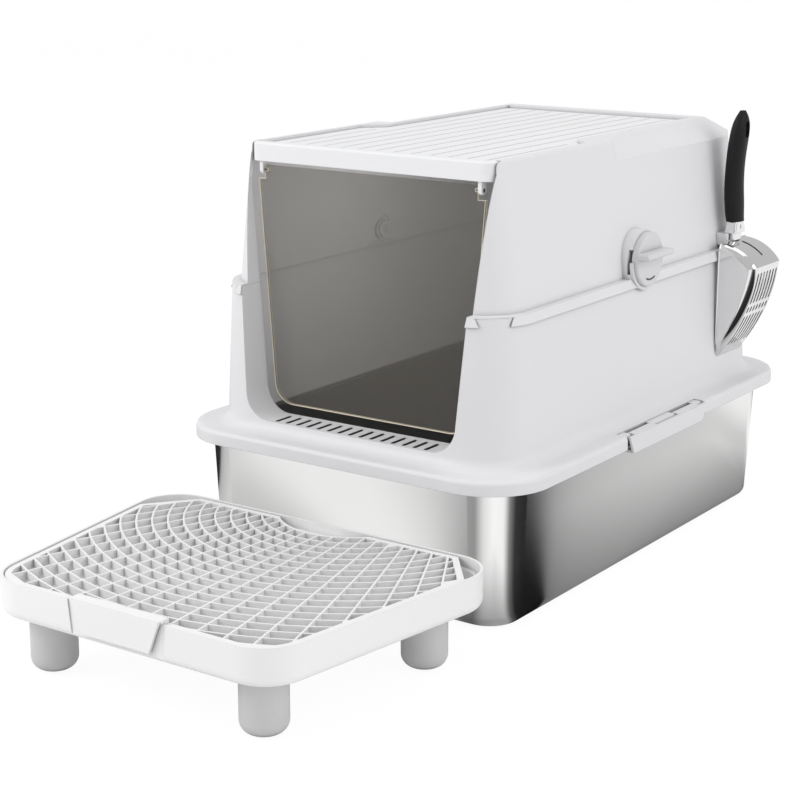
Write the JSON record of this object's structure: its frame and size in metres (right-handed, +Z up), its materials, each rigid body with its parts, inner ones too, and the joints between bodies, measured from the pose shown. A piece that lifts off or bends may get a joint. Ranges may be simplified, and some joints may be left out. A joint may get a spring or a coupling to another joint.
{
  "type": "covered litter box",
  "caption": "Covered cat litter box: deep steel pan under a clipped-on wall and a hood with a swing flap, a hinged grooved lid, a hung scoop and a lattice entry step.",
  "frame": {"origin": "middle of the steel pan's flat base, on the floor", "axes": "+X to the right seen from the entry, +Y from the entry to the back, +Z up"},
  "size_m": [0.416, 0.9069, 0.4398],
  "materials": {
    "pan_steel": "satin drawn sheet",
    "shell": "fine matte moulding, light grey-white",
    "lid": "matte white with fine grooves",
    "knob": "matte moulding",
    "flap": "clear smoked sheet with polished edges",
    "pin_steel": "drawn rod",
    "scoop_steel": "polished sheet",
    "ferrule": "satin collar",
    "grip": "soft charcoal grip",
    "step": "white moulding with a light sheen",
    "leg": "grey moulding"
  },
  "bodies": {
    "box": {"steel_pan": "pan_steel", "lower_wall": "shell", "clip_pin_left": "pin_steel", "clip_pin_right": "pin_steel", "upper_hood": "shell", "scoop_holder": "shell"},
    "lid": {"top_lid": "lid", "lid_pin_left": "pin_steel", "lid_pin_right": "pin_steel"},
    "flap": {"flap_door": "flap"},
    "clip_left": {"side_clip_left": "shell"},
    "clip_right": {"side_clip_right": "shell"},
    "knob_left": {"lock_knob_left": "knob", "lock_retainer_left": "knob"},
    "knob_right": {"lock_knob_right": "knob", "lock_retainer_right": "knob"},
    "scoop": {"scoop_blade": "scoop_steel", "scoop_ferrule": "ferrule", "scoop_rivet": "scoop_steel", "scoop_grip": "grip"},
    "step": {"step_tray": "step", "step_leg_front_left": "leg", "step_leg_front_right": "leg", "step_leg_back_left": "leg", "step_leg_back_right": "leg"},
    "grid": {"step_grid": "step", "grid_tab": "step"}
  },
  "joints": [
    {"name": "lid_hinge", "type": "hinge", "parent": "box", "child": "lid", "pos_m": [0, 0.1918, 0.4234], "axis": [-1, 0, 0], "range_deg": [0, 95]},
    {"name": "flap_swing", "type": "hinge", "parent": "lid", "child": "flap", "pos_m": [0, -0.2365, 0.4025], "axis": [1, 0, 0], "range_deg": [-75, 75]},
    {"name": "clip_left_hinge", "type": "hinge", "parent": "box", "child": "clip_left", "pos_m": [-0.1925, 0, 0.145], "axis": [0, 1, 0], "range_deg": [0, 95]},
    {"name": "clip_right_hinge", "type": "hinge", "parent": "box", "child": "clip_right", "pos_m": [0.1925, 0, 0.145], "axis": [0, -1, 0], "range_deg": [0, 95]},
    {"name": "knob_left_turn", "type": "hinge", "parent": "box", "child": "knob_left", "pos_m": [-0.17, 0, 0.3095], "axis": [-1, 0, 0], "range_deg": [0, 90]},
    {"name": "knob_right_turn", "type": "hinge", "parent": "box", "child": "knob_right", "pos_m": [0.17, 0, 0.3095], "axis": [1, 0, 0], "range_deg": [0, 90]},
    {"name": "scoop_pull", "type": "slide", "parent": "box", "child": "scoop", "axis": [1, 0, 0], "range_m": [0, 0.15]},
    {"name": "step_slide", "type": "slide", "parent": "box", "child": "step", "axis": [0, -1, 0], "range_m": [0, 0.2]},
    {"name": "grid_lift", "type": "slide", "parent": "step", "child": "grid", "axis": [0, 0, 1], "range_m": [0, 0.06]}
  ]
}
